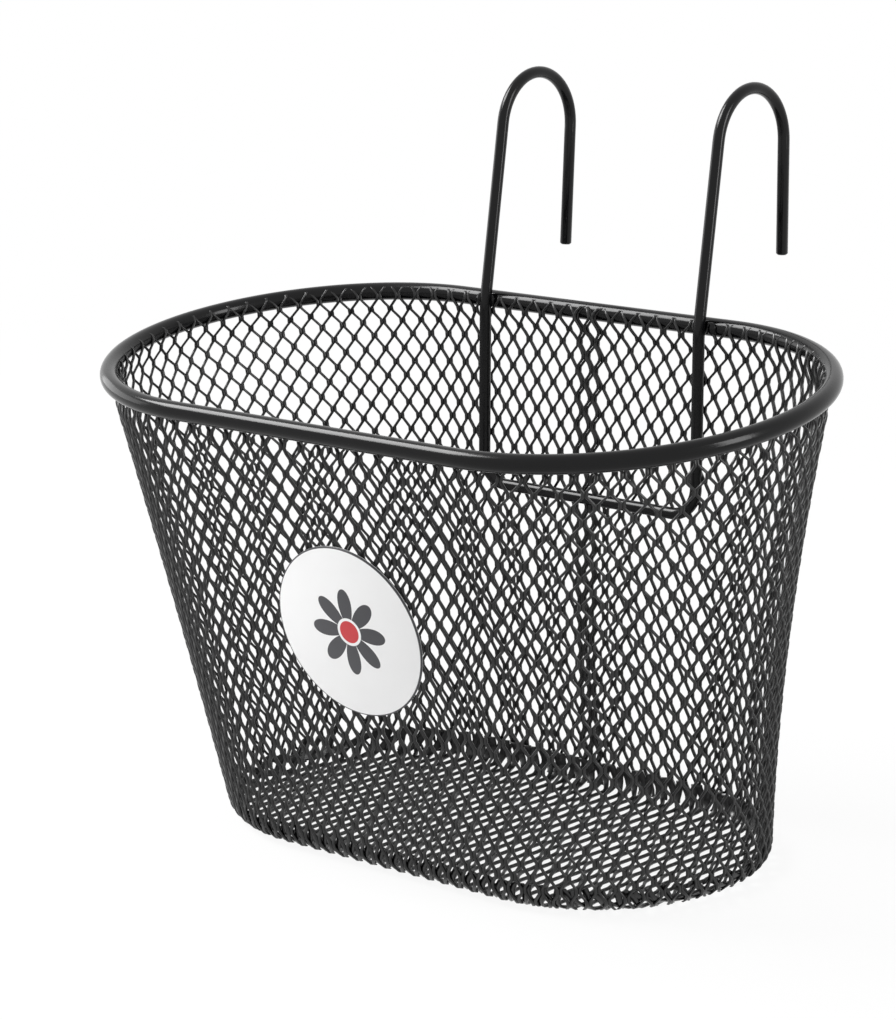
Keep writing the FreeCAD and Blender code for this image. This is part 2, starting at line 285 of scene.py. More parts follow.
@dataclass(frozen=True)
class PrintedFilm:
    """Gloss white vinyl film, printed with a small flower under a laminate, with a thin dark ring of
    painted shade round its edge.
    """

    colour: str = "e9e9e9"
    # dark ink of the petals, also the colour of the painted shade ring round the edge
    ink: str = "3a3a3e"
    centre_ink: str = "c02a30"
    roughness: float = 0.28
    ior: float = 1.5                # of the laminate
    flower: float = 14.0 * MM       # from the flower's middle to a petal's tip
    petals: int = 8
    fullness: float = 0.7           # below 1 the petals are rounder than a cosine
    centre: float = 3.6 * MM
    gap: float = 0.9 * MM           # bare film between the centre and the petals
    # width of the thin dark ring of painted shade round the edge
    border: float = 0.5 * MM
    sharp: float = 0.12 * MM        # width over which an inked edge fades
    grain: float = 0.8 * MM         # width of a ripple in the laminate
    grain_depth: float = 0.004 * MM

    def make(self, middle: Vector, up: Vector, radius: float, depth: float) -> bpy.types.Material:
        """Makes the printed face.

        Args:
            middle: the middle of the badge's face.
            up: its upward direction.
            radius: its radius.
            depth: how far behind the face the ink stops.

        Returns: the material.
        """
        material = bpy.data.materials.new("printed_gloss_vinyl_film")
        material.use_nodes = True
        nodes = Nodes(material.node_tree)
        place = nodes.field("ShaderNodeTexCoord", output="Object")
        split = nodes.add("ShaderNodeSeparateXYZ", None, place)
        x, y, z = (Field(nodes, output) for output in split.outputs)
        across = x - middle.x
        high = (z - middle.z) / up.z
        away = (across * across + high * high).math("SQRT")
        behind = (y - middle.y) * up.z - (z - middle.z) * up.y
        face = self.inked(behind * -1.0 + depth)
        turn = across.math("ARCTAN2", high)
        wave = (turn * (self.petals / 2)).math("COSINE").math("ABSOLUTE")
        petal = wave.math("POWER", self.fullness)
        reach = petal * (self.flower - self.centre) + self.centre
        leaf = self.inked(reach - away) * self.inked(away - (self.centre + self.gap))
        # edge: a thin dark ring of painted shade round the disc's rim, in the petals' ink; dark
        # mixes it with the printed petals
        edge = self.inked(away - (radius - self.border))
        dark = nodes.add("ShaderNodeMix", {"data_type": "RGBA"}, leaf.math("MAXIMUM", edge) * face,
                         linear(self.colour), linear(self.ink))
        spot = self.inked(away * -1.0 + self.centre) * face
        colour = nodes.add("ShaderNodeMix", {"data_type": "RGBA"}, spot,
                           dark.outputs["Result"], linear(self.centre_ink))
        return self.glossed(nodes, material, place, colour)

    def inked(self, inside: Field) -> Field:
        """1 where the length is above zero, fading out over the inked edge's width."""
        return (inside / self.sharp + 0.5).clamp(0.0, 1.0)

    def glossed(self, nodes: Nodes, material: bpy.types.Material, place: Field,
                colour: bpy.types.Node) -> bpy.types.Material:
        """Adds the laminate's gloss and faint orange peel.

        Args:
            nodes: the material's nodes.
            material: the material.
            place: the point on the object.
            colour: the node that mixes the inks.

        Returns: the material.
        """
        grain = nodes.field("ShaderNodeTexNoise", None, named={
            "Vector": place, "Scale": 1 / self.grain, "Detail": 2.0})
        bump = nodes.add("ShaderNodeBump", None, named={
            "Height": grain, "Strength": 1.0, "Distance": self.grain_depth})
        shader = nodes.add("ShaderNodeBsdfPrincipled", None, named={
            "Base Color": colour.outputs["Result"], "Roughness": self.roughness, "IOR": self.ior,
            "Normal": bump.outputs[0]})
        nodes.add("ShaderNodeOutputMaterial", None, shader.outputs[0])
        return material


# On round bar the coat flows out smooth: deep black with long, narrow highlights.
BAR_COAT = PowderCoat("gloss_powder_coat_on_bar", roughness=0.17, ior=1.3)
# On the strands it is thinner and follows their cut edges: a shade greyer, with broken highlights.
MESH_COAT = PowderCoat("gloss_powder_coat_on_expanded_mesh", roughness=0.3, ior=1.48)


# ---- the basket's shape ----------------------------------------------------------------------
@dataclass(frozen=True)
class Body:
    """Outline of the wall sheet: a stadium at every height, smaller and further back below."""

    bar: float = 5.8 * MM           # thickness of the rim's bar
    tilt: float = math.radians(5.6)     # of the rim, up at the back
    seat: float = 1.5 * MM          # wall's upper edge below the rim's centreline
    sheet: float = 1.0 * MM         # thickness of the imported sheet
    back_draw: float = 4.4 * MM     # how far the back wall is drawn in at half its height
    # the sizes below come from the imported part
    rim_half_length: float = 0.0
    rim_half_depth: float = 0.0
    rim_height: float = 0.0
    floor_half_length: float = 0.0
    floor_half_depth: float = 0.0
    floor_shift: float = 0.0
    flange: float = 0.0

    @classmethod
    def measured(cls) -> "Body":
        """Returns: the outline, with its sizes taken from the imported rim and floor."""
        low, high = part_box("rim_hoop")
        under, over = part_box("floor_mesh")
        rim = cls(rim_half_length=(high[0] - low[0] - cls.bar) / 2,
                  rim_half_depth=(high[1] - low[1] - cls.bar) / 2 / math.cos(cls.tilt),
                  rim_height=(high[2] + low[2]) / 2, flange=over[2])
        share = rim.flange / rim.wall_top
        draw = rim.draw_at(share)
        half_length = (over[0] - under[0]) / 2 + cls.sheet / 2
        half_depth = (over[1] - under[1]) / 2 + cls.sheet / 2 + draw
        return replace(
            rim,
            floor_half_length=(half_length - share * rim.rim_half_length) / (1 - share),
            floor_half_depth=(half_depth - share * rim.rim_half_depth) / (1 - share),
            floor_shift=((over[1] + under[1]) / 2 + draw) / (1 - share),
        )

    @property
    def wall_top(self) -> float:
        """Height of the wall's upper edge at the rim's middle."""
        return self.rim_height - self.seat / math.cos(self.tilt)

    @property
    def rim_straight(self) -> float:
        """Half the length of the rim's straight side."""
        return self.rim_half_length - self.rim_half_depth

    @property
    def floor_straight(self) -> float:
        """Half the length of the floor's straight side."""
        return self.floor_half_length - self.floor_half_depth

    @property
    def girth(self) -> float:
        """Length of the wall sheet once round, at the rim."""
        return 4 * self.rim_straight + 2 * math.pi * self.rim_half_depth

    @property
    def rim_back(self) -> Vector:
        """Middle of the rim's bar at the back."""
        return Vector((0, self.rim_half_depth * math.cos(self.tilt),
                       self.rim_height + self.rim_half_depth * math.sin(self.tilt)))

    @property
    def front_rise(self) -> Vector:
        """Upward direction along the front wall."""
        return (self.front(self.wall_top) - self.front(0.0)).normalized()

    def draw_at(self, share: float) -> float:
        """Args: share: height as a share of the wall. Returns: half the draw of the back there."""
        return self.back_draw / 2 * 4 * share * (1 - share)

    def across(self, share: float) -> tuple[float, float, float]:
        """Args: share: height, as a share. Returns: the half straight, the radius and middle's Y."""
        draw = self.draw_at(share)
        radius = self.floor_half_depth + (self.rim_half_depth - self.floor_half_depth) * share
        length = self.floor_half_length + (self.rim_half_length - self.floor_half_length) * share
        return length - radius, radius - draw, self.floor_shift * (1 - share) - draw

    def front(self, height: float) -> Vector:
        """Args: height: above the floor. Returns: the middle of the front wall's sheet there."""
        low = Vector((0, self.across(0)[2] - self.across(0)[1], 0))
        rim = -self.rim_half_depth
        high = Vector((0, rim * math.cos(self.tilt), self.wall_top + rim * math.sin(self.tilt)))
        return low.lerp(high, height / high.z)


# ---- expanded mesh ---------------------------------------------------------------------------
@dataclass(frozen=True)
class Strands:
    """Straight strands, one on the other, with what is known at each of their corners."""

    geometry: Field
    number: Field                   # of the strand that the corner is on
    across: Field                   # corner's place across the strand, -1 to 1
    through: Field                  # corner's place through the sheet, -1 to 1
    ring: Field                     # number of the corner's ring along the strand


@dataclass(frozen=True)
class ExpandedSheet:
    """Expanded-metal sheet: strands zigzag along it, each joined to the next where they meet."""

    pitch: float = 7.19 * MM        # from one diamond to the next, across the strands
    length: float = 9.1 * MM        # of a diamond, along the strands
    strand: float = 1.08 * MM       # width of a strand
    thickness: float = 0.95 * MM
    lean: float = math.radians(-24)     # strands turn out of the sheet when it is stretched
    joint: float = 0.19             # share of half a diamond over which two strands are joined
    step_back: float = 0.9          # share of the lean that is taken back where strands meet
    sides: int = 8
    steps: int = 4                  # rings of corners in half a diamond

    def strands(self, model: Modelled, count: Field, first: Field, rings: int) -> Strands:
        """Adds straight strands that are still to be moved to their places.

        Args:
            model: the tree.
            count: number of strands.
            first: number of the first strand.
            rings: rings of corners along a strand.

        Returns: the strands.
        """
        nodes = model.nodes
        rod = nodes.add("GeometryNodeMeshCylinder", {"fill_type": "NGON"}, named={
            "Vertices": self.sides, "Side Segments": rings - 1, "Radius": 1.0,
            "Depth": float(rings - 1)})
        turned = nodes.add("GeometryNodeTransform", None, rod.outputs[0], named={
            "Translation": (0, 0, (rings - 1) / 2), "Rotation": (0, 0, math.pi / self.sides)})
        points = nodes.add("GeometryNodePoints", None, count)
        placed = nodes.add("GeometryNodeInstanceOnPoints", None, points.outputs[0], named={
            "Instance": turned.outputs[0]})
        number = nodes.field("GeometryNodeInputIndex") + first
        numbered = nodes.add("GeometryNodeStoreNamedAttribute", {"domain": "INSTANCE"},
                             placed.outputs[0], named={"Name": "strand", "Value": number})
        real = nodes.add("GeometryNodeRealizeInstances", None, numbered.outputs[0])
        strand = nodes.field("GeometryNodeInputNamedAttribute", None, "strand")
        place = nodes.add("ShaderNodeSeparateXYZ", None, nodes.field("GeometryNodeInputPosition"))
        across, through, ring = (Field(nodes, output) for output in place.outputs)
        # the root makes the round section nearly square, with soft edges
        across, through = (side.math("SIGN") * side.math("ABSOLUTE").math("POWER", 0.5)
                           for side in (across, through))
        return Strands(Field(nodes, real.outputs[0]), strand, across, through, ring)

    def along(self, ring: Field) -> Field:
        """Args: ring: a ring's number. Returns: its place along the strand, in half diamonds.

        Rings crowd at the joints, where the strand turns.
        """
        count = ring / self.steps
        whole = (count + NUDGE).math("FLOOR")
        part = count - whole
        near = part.math("MINIMUM", part * -1.0 + 1.0)
        joined = near * (self.joint * 4)
        free = (near - 0.25) * ((0.5 - self.joint) * 4) + self.joint
        eased = joined.math("MAXIMUM", free)
        late = part.math("GREATER_THAN", 0.5)
        return whole + eased + late * (eased * -2.0 + 1.0)

    def zigzag(self, along: Field, strand: Field) -> Field:
        """Args: along: place in half diamonds. strand: its number. Returns: the sway, -1 to 1."""
        whole = (along + NUDGE).math("FLOOR")
        slope = ((along - whole - self.joint) / (1 - 2 * self.joint)).clamp(0.0, 1.0)
        turn = ((whole + strand) * math.pi).math("COSINE")
        return turn * (slope * -2.0 + 1.0)

    def section(self, sway: Field, across: Field, through: Field, squeeze: Number = 1.0,
                stretch: Number = 1.0) -> tuple[Field, Field]:
        """Places a strand's corners round its middle line.

        Args:
            sway: the zigzag.
            across: corner's place across the strand, -1 to 1.
            through: corner's place through the strand, -1 to 1.
            squeeze: how much wider the flat sheet is than the wall is round at this height.
            stretch: how much wider its diamonds are here than on average.

        Returns: the offset along the sheet, and the offset out of it.
        """
        squeeze, stretch = sway.nodes.number(squeeze), sway.nodes.number(stretch)
        half, deep = self.strand / 2, self.thickness / 2
        side, rise = math.cos(self.lean), math.sin(self.lean)
        reach = squeeze * (-half * side) + stretch * (self.pitch / 4)
        offset = sway * reach + (across * (half * side) - through * (deep * rise)) * squeeze
        lifted = across * (half * rise) + through * (deep * side)
        return offset, lifted - sway * (half * rise * self.step_back)

    def end(self, model: Modelled, strands: Strands, place: Sequence[Field],
            coat: bpy.types.Material) -> None:
        """Moves the strands to their places, joins their cut ends' corners and ends the tree.

        Args:
            model: the tree.
            strands: the strands.
            place: X, Y and Z of each corner.
            coat: the finish.
        """
        point = model.nodes.add("ShaderNodeCombineXYZ", None, *place)
        moved = model.nodes.add("GeometryNodeSetPosition", None, strands.geometry, named={
            "Position": point.outputs[0]})
        merged = model.nodes.add("GeometryNodeMergeByDistance", None, moved.outputs[0], named={
            "Distance": SAME_CORNER})
        model.finish(merged.outputs[0], coat)


@dataclass
class Wall:
    """The wall: an expanded sheet wrapped into an oval taper, with a lapped seam at the back."""

    body: Body
    coat: bpy.types.Material
    mesh: ExpandedSheet = field(default_factory=ExpandedSheet)
    edge: float = 1.6 * MM          # height of the cut lower edge
    foot: float = 6.0 * MM          # radius of the turned-in foot
    top: float = 3.5 * MM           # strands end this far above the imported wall, inside the rim
    step_in: float = 2.7 * MM       # how far the strands bend in to pass inside the rim
    bend: float = 8.0 * MM          # height of that bend
    climb: float = 8.5 * MM         # rows stand this much higher at the seam, against the rim
    start: float = 14.0 * MM        # rows that are cut away above the rim
    inset: float = 0.5 * MM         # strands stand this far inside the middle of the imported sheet
    coarser: float = 0.036          # diamonds are this share larger in front, smaller at the seam
    lap_lift: float = -1.5 * MM     # the lap lies inside the wall
    lap_strands: int = 3
    lap_shift: float = 0.12         # in half diamonds, as laps never match
    lap_slip: float = 0.4 * MM

    @property
    def count(self) -> int:
        """Number of strands round the wall."""
        return 2 * round(self.body.girth / self.mesh.pitch)

    @property
    def falls(self) -> tuple[float, float]:
        """Length of the sheet from the rim to the floor, in front and at the back."""
        body = self.body
        front = (body.front(body.wall_top) - body.front(0)).length
        depth = body.rim_half_depth
        back = math.hypot(depth * math.cos(body.tilt) - body.across(0)[1] - body.floor_shift,
                          body.wall_top + depth * math.sin(body.tilt))
        return front, back

    def tree(self) -> Modelled:
        """Returns: the tree that makes part of the wall."""
        body, mesh = self.body, self.mesh
        model = Modelled("expanded_wall")
        nodes = model.nodes
        count, first = model.size("Strands", self.count), model.size("First strand", 0.0)
        lift, shift, slip = (model.size(name, 0.0) for name in ("Lift", "Row shift", "Slip"))
        half = body.girth / 2
        depth = body.rim_half_depth
        front, back = self.falls
        least = mesh.length * (1 - self.coarser)
        rings = math.ceil((back + self.start + self.climb) / (least / 2) * mesh.steps) + 1
        strands = mesh.strands(model, count, first, rings)
        # place round the wall: 0 in front, -1 and 1 at the seam
        round_to = (strands.number / (self.count / 2) + slip / half).math("WRAP", 1.0, -1.0)
        line = (round_to + (round_to * math.pi).math("SINE") * (self.coarser / math.pi)) * half
        stretch = (round_to * math.pi).math("COSINE") * self.coarser + 1.0
        row = stretch * (mesh.length / 2)
        turn = ((line.math("ABSOLUTE") - body.rim_straight) / depth).clamp(0.0, math.pi)
        tall = (turn.math("COSINE") * -0.5 + 0.5) * (back - front) + front
        climb = round_to * round_to * self.climb
        # place up the wall: rows above the rim and below the foot collapse onto the cut edges
        down = mesh.along(strands.ring) * row - self.start
        share = ((down - climb) / tall * -1.0 + 1.0).clamp(self.edge / body.wall_top,
                                                          1 + self.top / body.wall_top)
        along = ((share * -1.0 + 1.0) * tall + climb + self.start) / row
        sway = mesh.zigzag(along + shift, strands.number)
        # the oval at that height
        draw = share * (share * -1.0 + 1.0) * (body.back_draw * 2)
        plain = share.lerp(body.floor_half_depth, body.rim_half_depth)
        straight = share.lerp(body.floor_straight, body.rim_straight)
        radius = plain - draw
        around = straight * 4.0 + radius * (2 * math.pi)
        squeeze = nodes.number(body.girth) / around
        offset, out = mesh.section(sway, strands.across, strands.through, squeeze, stretch)
        # wrap the flat sheet round it
        flat = line + offset
        arc = flat.math("ABSOLUTE") / squeeze
        turn = ((arc - straight) / radius).clamp(0.0, math.pi)
        past = (arc - straight - radius * math.pi).math("MAXIMUM", 0.0)
        reach = radius + out + lift - self.turned_in(share * body.wall_top)
        x = flat.math("SIGN") * (arc.math("MINIMUM", straight) - past + reach * turn.math("SINE"))
        y = reach * turn.math("COSINE") * -1.0
        tilt = share * body.tilt
        middle = (share * -1.0 + 1.0) * body.floor_shift - draw
        mesh.end(model, strands, (x, middle + y * tilt.math("COSINE"),
                                  share * body.wall_top + y * tilt.math("SINE")), self.coat)
        return model

    def turned_in(self, height: Field) -> Field:
        """Args: height: above the floor. Returns: how far the sheet bends in at foot and rim."""
        low = (height * -1.0 + self.foot).math("MAXIMUM", 0.0)
        foot = (low * low * -1.0 + self.foot ** 2).math("SQRT") * -1.0 + self.foot
        part = ((height - (self.body.wall_top - self.bend)) / self.bend).clamp(0.0, 1.0)
        bar = self.body.bar / 2
        above = (height - (self.body.wall_top + self.body.seat)).math("MAXIMUM", 0.0)
        over = (above * above * -1.0 + bar ** 2).math("SQRT") - bar
        return foot + part * part * (part * -2.0 + 3.0) * self.step_in + over

    def build(self) -> list[bpy.types.Object]:
        """Returns: three parts of the wall, and the lap over its seam."""
        model = self.tree()
        names = ("wall_mesh_front", "wall_mesh_back_right", "wall_mesh_back_left")
        share = self.count / len(names)
        edges = [round(share * (part - 0.5)) for part in range(len(names) + 1)]
        parts = [model.run(name, {"Strands": after - first, "First strand": first,
                                  "Lift": -self.inset})
                 for name, first, after in zip(names, edges, edges[1:])]
        lap = model.run("wall_mesh_lap", {
            "Strands": self.lap_strands, "First strand": self.count // 2 - self.lap_strands // 2,
            "Lift": self.lap_lift, "Row shift": self.lap_shift, "Slip": self.lap_slip})
        return [dressed(piece, "wall_mesh") for piece in (*parts, lap)]


@dataclass
class Floor:
    """Floor pan: an expanded sheet pressed flat, with its edge turned up inside the wall."""

    body: Body
    coat: bpy.types.Material
    mesh: ExpandedSheet = field(default_factory=lambda: ExpandedSheet(
        pitch=5.8 * MM, length=12.3 * MM, strand=1.15 * MM, lean=math.radians(-20)))
    bend: float = 6.0 * MM          # radius under the turned-up edge
    skew: float = 0.162             # strands run this much to the left as they go back
    row_skew: float = 0.043         # rows run this much to the front as they go right
    crowding: float = 1.3           # strands are wider by this share in the turned-up edge
    clear: float = 0.85 * MM        # middle of the sheet above the ground
    least: float = 1e-5             # keeps the length of the blank's last strands above zero

    @property
    def flat(self) -> float:
        """Half depth of the floor's flat middle."""
        return self.body.floor_half_depth - self.body.sheet / 2 - self.bend

    @property
    def reach(self) -> float:
        """Half width of the blank."""
        arc = (self.bend - self.clear) * math.pi / 2
        return self.flat + arc + self.body.flange - self.bend

    @property
    def count(self) -> int:
        """Number of strands in the blank."""
        return 2 * math.floor((self.body.floor_straight + self.reach) / (self.mesh.pitch / 2)) - 1

    def tree(self) -> Modelled:
        """Returns: the tree that makes the pan."""
        body, mesh, reach, flat = self.body, self.mesh, self.reach, self.flat
        model = Modelled("expanded_floor")
        nodes = model.nodes
        count, first = model.size("Strands", self.count), model.size("First strand", 0.0)
        bend = self.bend - self.clear
        straight = body.floor_straight
        rings = math.ceil(2 * reach / (mesh.length / 2) * mesh.steps) + 1
        strands = mesh.strands(model, count, first, rings)
        # the flat blank, on which the strands end at its oval edge
        line = strands.number * (mesh.pitch / 2)
        limit = self.half_run(line)
        front_end = self.half_run(line + limit * self.skew) * -1.0
        back_end = self.half_run(line - limit * self.skew)
        run = mesh.along(strands.ring) * (mesh.length / 2) - reach
        y = run.clamp(front_end, back_end)
        sway = mesh.zigzag((y + line * self.row_skew + reach) / (mesh.length / 2), strands.number)
        beyond = ((line - y * self.skew).math("ABSOLUTE") - straight).math("MAXIMUM", 0.0)
        turned = (((beyond * beyond + y * y).math("SQRT") - flat) / self.bend).clamp(0.0, 1.0)
        widened = turned * self.crowding + 1.0
        offset, out = mesh.section(sway, strands.across * widened * -1.0, strands.through)
        # its edge turned up round the bend
        x = line - y * self.skew + offset
        medial = x.clamp(-straight, straight)
        away = x - medial
        radial = (away * away + y * y + TINY).math("SQRT")
        arc = (radial - flat).math("MAXIMUM", 0.0)
        angle = (arc / bend).math("MINIMUM", math.pi / 2)
        rise = (arc - bend * math.pi / 2).math("MAXIMUM", 0.0)
        height = (angle.math("COSINE") * -1.0 + 1.0) * bend + rise + self.clear
        height = height + out * angle.math("COSINE")
        out_to = radial.math("MINIMUM", flat) + (nodes.number(bend) - out) * angle.math("SINE")
        # opened out to the wall, which grows with height
        share = height / body.wall_top
        grow = share * (body.rim_half_depth - body.floor_half_depth - 2 * body.back_draw)
        stretch = share * (body.rim_straight / straight - 1.0) + 1.0
        middle = share * (-body.floor_shift - 2 * body.back_draw) + body.floor_shift
        mesh.end(model, strands, (medial * stretch + away / radial * (out_to + grow),
                                  middle + y / radial * (out_to + grow), height), self.coat)
        return model

    def half_run(self, line: Field) -> Field:
        """Args: line: place along the blank's long axis. Returns: length from there to its edge."""
        end = (line.math("ABSOLUTE") - self.body.floor_straight).math("MAXIMUM", 0.0) / self.reach
        return (end * end * -1.0 + 1.0).math("MAXIMUM", self.least).math("SQRT") * self.reach

    def build(self) -> list[bpy.types.Object]:
        """Returns: the pan."""
        pan = self.tree().run("floor_mesh_pan", {
            "Strands": self.count, "First strand": -(self.count // 2)})
        return [dressed(pan, "floor_mesh")]


# ---- bars and wire ---------------------------------------------------------------------------
def dressed(piece: bpy.types.Object, node: str) -> bpy.types.Object:
    """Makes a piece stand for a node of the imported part.

    Args:
        piece: the piece.
        node: the node that it stands for.

    Returns: the piece.
    """
    for polygon in piece.data.polygons:
        polygon.use_smooth = True
    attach(piece, "root")
    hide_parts(node)
    return piece


def new_piece(name: str, mesh: bmesh.types.BMesh, material: bpy.types.Material) -> bpy.types.Object:
    """Args: name: the piece's name. mesh: its shape. material: its finish. Returns: the piece."""
    bmesh.ops.recalc_face_normals(mesh, faces=mesh.faces)
    data = bpy.data.meshes.new(name)
    mesh.to_mesh(data)
    mesh.free()
    data.materials.append(material)
    piece = bpy.data.objects.new(name, data)
    bpy.context.scene.collection.objects.link(piece)
    return piece


def turns(count: int) -> list[float]:
    """Args: count: number of angles. Returns: them, in equal steps round a circle."""
    return [2 * math.pi * step / count for step in range(count)]


def skin(mesh: bmesh.types.BMesh, rings: Sequence[Sequence[Vector]], closed: bool) -> None:
    """Joins rings of corners into a tube.

    Args:
        mesh: where the tube is added.
        rings: its rings, with the same number of corners each.
        closed: whether the last ring joins the first; otherwise both ends are capped.
    """
    made = [[mesh.verts.new(corner) for corner in ring] for ring in rings]
    size = len(made[0])
    following = made[1:] + (made[:1] if closed else [])
    for one, two in zip(made, following):
        for i in range(size):
            mesh.faces.new((one[i], one[(i + 1) % size], two[(i + 1) % size], two[i]))
    if not closed:
        mesh.faces.new(made[0])
        mesh.faces.new(list(reversed(made[-1])))


@dataclass
class Rim:
    """Rim hoop: a round bar bent into an oval, tilted up at the back."""

    body: Body
    coat: bpy.types.Material
    round_steps: int = 96           # steps round one end
    section_steps: int = 28

    def build(self) -> list[bpy.types.Object]:
        """Returns: the hoop."""
        body = self.body
        radius = body.bar / 2
        spine: list[tuple[Vector, Vector]] = []
        for side in (1, -1):
            for step in range(self.round_steps + 1):
                angle = math.pi / 2 - math.pi * step / self.round_steps
                out = Vector((math.cos(angle), math.sin(angle), 0)) * side
                end = Vector((side * body.rim_straight, 0, 0))
                spine.append((end + out * body.rim_half_depth, out))
        turn = Matrix.Translation((0, 0, body.rim_height)) @ Matrix.Rotation(body.tilt, 4, "X")
        up = Vector((0, 0, 1))
        rings = [[turn @ (centre + out * (radius * math.cos(a)) + up * (radius * math.sin(a)))
                  for a in turns(self.section_steps)] for centre, out in spine]
        mesh = bmesh.new()
        skin(mesh, rings, True)
        return [dressed(new_piece("rim_hoop_bar", mesh, self.coat), "rim_hoop")]


@dataclass
class Hook:
    """Double hook: one wire with a crosspiece inside the back wall, two legs and two arches."""

    body: Body
    coat: bpy.types.Material
    wire: float = 3.8 * MM
    drop: float = 59.5 * MM         # from the rim's middle to the crosspiece
    corner: float = 9.0 * MM        # radius between the crosspiece and a leg
    neck: float = 40.0 * MM         # radius of the bend at the rim
    leg_lean: float = math.radians(11.0)    # from upright, above the rim
    arch: float = 17.8 * MM         # radius over the handlebar
    tip_leans: tuple[float, float] = (math.radians(5.2), math.radians(1.7))     # left, right
    tip_ends: tuple[float, float] = (170.0 * MM, 174.0 * MM)    # heights, left and right
    end_edge: float = 0.5 * MM      # bevel of the cut ends
    sides: int = 20
    step: float = math.radians(5)   # of a bend

    def line(self, side: int, tip_lean: float, end: float) -> list[Vector]:
        """Middle line of one half of the wire.

        Args:
            side: -1 left, 1 right.
            tip_lean: how far the tip leans from upright.
            end: height of the tip's end.

        Returns: its points.
        """
        low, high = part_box("hook_wire")
        top = high[2] - self.wire / 2
        back = self.body.rim_back
        at = Vector(((low[0] + high[0]) / 2, low[1] + self.wire / 2, back.z - self.drop))
        leg = Vector((at.x, back.y - self.body.bar / 2 - self.wire / 2, back.z)) - at
        heading = Vector((side, 0, 0))
        points = [at.copy()]

        def run(length: float) -> None:
            """Straight run."""
            nonlocal at
            at = at + heading * length
            points.append(at.copy())

        def bend(radius: float, axis: Vector, angle: float) -> None:
            """Bend about an axis by the right-hand rule."""
            nonlocal at, heading
            axis = axis.normalized()
            centre = at + axis.cross(heading) * radius
            count = max(2, math.ceil(angle / self.step))
            arm = at - centre
            for number in range(1, count + 1):
                turn = Quaternion(axis, angle * number / count)
                points.append(centre + turn @ arm)
            at = points[-1].copy()
            heading = Quaternion(axis, angle) @ heading

        lean = math.atan2(leg.y, leg.z)
        half = (high[0] - low[0] - self.wire) / 2
        run(half - self.corner)
        bend(self.corner, heading.cross(leg), math.pi / 2)
        run(leg.length - self.corner - self.neck * math.tan((self.leg_lean - lean) / 2))
        bend(self.neck, Vector((-1, 0, 0)), self.leg_lean - lean)
        run((top - self.arch * (1 - math.sin(self.leg_lean)) - at.z) / heading.z)
        bend(self.arch, Vector((-1, 0, 0)), math.pi - self.leg_lean + tip_lean)
        run((at.z - end) / math.cos(tip_lean))
        return points

    def build(self) -> list[bpy.types.Object]:
        """Returns: the wire."""
        left, right = map(self.line, (-1, 1), self.tip_leans, self.tip_ends)
        points = list(reversed(left)) + right[1:]
        mesh = bmesh.new()
        skin(mesh, self.rings(points), False)
        return [dressed(new_piece("hook_wire_bent", mesh, self.coat), "hook_wire")]

    def rings(self, points: Sequence[Vector]) -> list[list[Vector]]:
        """Args: points: a middle line. Returns: rings of corners along it, with bevelled ends."""
        last = len(points) - 1
        tangents = [(points[min(i + 1, last)] - points[max(i - 1, 0)]).normalized()
                    for i in range(last + 1)]
        side = tangents[0].orthogonal().normalized()
        frames = []
        for point, tangent in zip(points, tangents):
            side = (side - tangent * side.dot(tangent)).normalized()
            frames.append((point, tangent, side.copy()))
        edge, radius = self.end_edge, self.wire / 2
        (start, ahead, start_side), (end, onward, end_side) = frames[0], frames[-1]
        spine = [(start, ahead, start_side, radius - edge),
                 (start + ahead * edge, ahead, start_side, radius),
                 *((*frame, radius) for frame in frames[1:-1]),
                 (end - onward * edge, onward, end_side, radius),
                 (end, onward, end_side, radius - edge)]
        rings = []
        for point, tangent, side, size in spine:
            other = tangent.cross(side)
            rings.append([point + (side * math.cos(a) + other * math.sin(a)) * size
                          for a in turns(self.sides)])
        return rings


@dataclass
class Badge:
    """Round badge on the front wall: a thin disc with a rounded edge, a printed face and painted
    shade round the face's edge.
    """

    body: Body
    film: PrintedFilm
    thickness: float = 0.9 * MM
    edge: float = 0.3 * MM          # radius of the edge
    cut: float = 0.3                # share of that radius which is rounded off
    sides: int = 128

    def build(self) -> list[bpy.types.Object]:
        """Returns: the disc."""
        low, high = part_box("badge")
        size = (high[0] - low[0]) / 2
        centre_x, height = (high[0] + low[0]) / 2, (high[2] + low[2]) / 2
        up = self.body.front_rise
        across = Vector((1, 0, 0))
        out = across.cross(up)
        foot = self.body.front(height) + across * centre_x + out * (self.body.sheet / 2)
        edge, cut, thick = self.edge, self.edge * self.cut, self.thickness
        outline = ((size - edge, 0.0), (size, edge), (size, thick - edge),
                   (size - cut, thick - cut), (size - edge, thick))
        rings = [[foot + out * rise + (across * math.cos(a) + up * math.sin(a)) * radius
                  for a in turns(self.sides)] for radius, rise in outline]
        mesh = bmesh.new()
        skin(mesh, rings, False)
        material = self.film.make(foot + out * thick, up, size, thick / 2)
        return [dressed(new_piece("badge_disc", mesh, material), "badge")]


